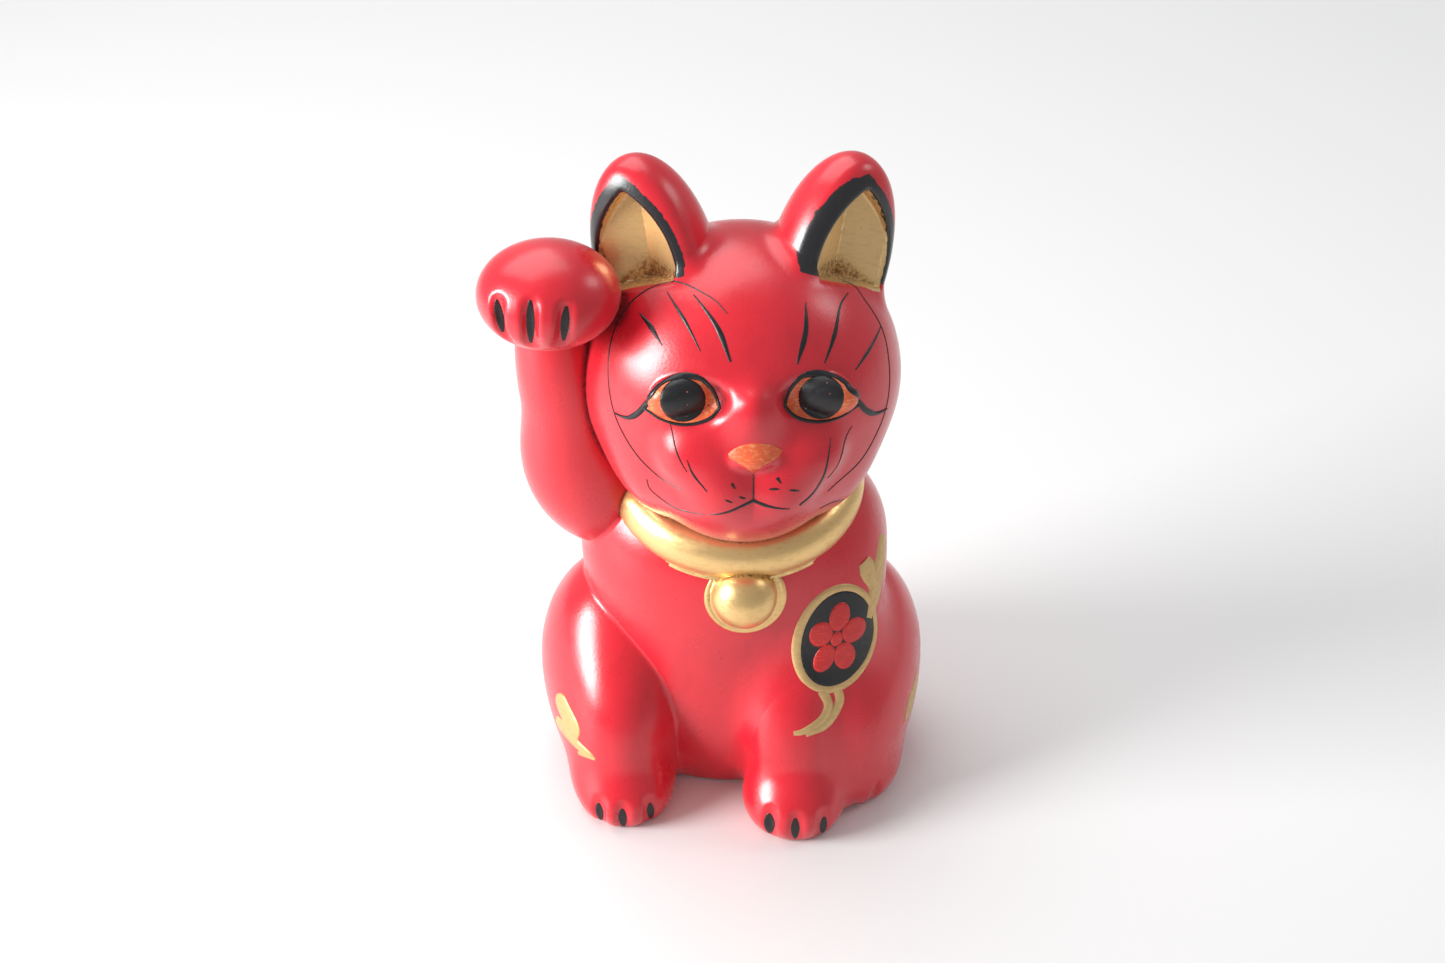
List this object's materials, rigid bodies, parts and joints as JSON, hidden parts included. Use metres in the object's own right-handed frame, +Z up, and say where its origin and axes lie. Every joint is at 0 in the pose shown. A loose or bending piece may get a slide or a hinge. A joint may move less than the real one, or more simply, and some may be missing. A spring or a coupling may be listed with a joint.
{
  "type": "beckoning cat figurine",
  "caption": "Seated ceramic beckoning cat money bank with a raised right paw, a collar with a bell, a coin slot behind the head and a rubber stopper in the base.",
  "frame": {"origin": "on the floor, under the middle of the figure's overall box; the cat's own midplane is at x = +6.8 mm because the raised paw widens its right side", "axes": "+Z up, the cat faces -Y, so its raised right foreleg is at -X"},
  "size_m": [0.1125, 0.093, 0.1715],
  "materials": {
    "red_glaze": "satin glazed red with painted black and gold details",
    "gold_glaze": "satin brushed-on gold paint over glazed ceramic",
    "stopper_rubber": "matte soft white rubber"
  },
  "bodies": {
    "cat": {"body_casting": "red_glaze", "head_casting": "red_glaze", "right_ear": "red_glaze", "left_ear": "red_glaze", "raised_foreleg": "red_glaze", "standing_foreleg": "red_glaze", "right_hind_paw": "red_glaze", "left_hind_paw": "red_glaze", "tail": "red_glaze", "collar": "gold_glaze", "bell": "gold_glaze"},
    "stopper": {"stopper": "stopper_rubber"}
  },
  "joints": [
    {"name": "stopper_pull", "type": "slide", "parent": "cat", "child": "stopper", "axis": [0, 0, -1], "range_m": [0, 0.025]}
  ]
}
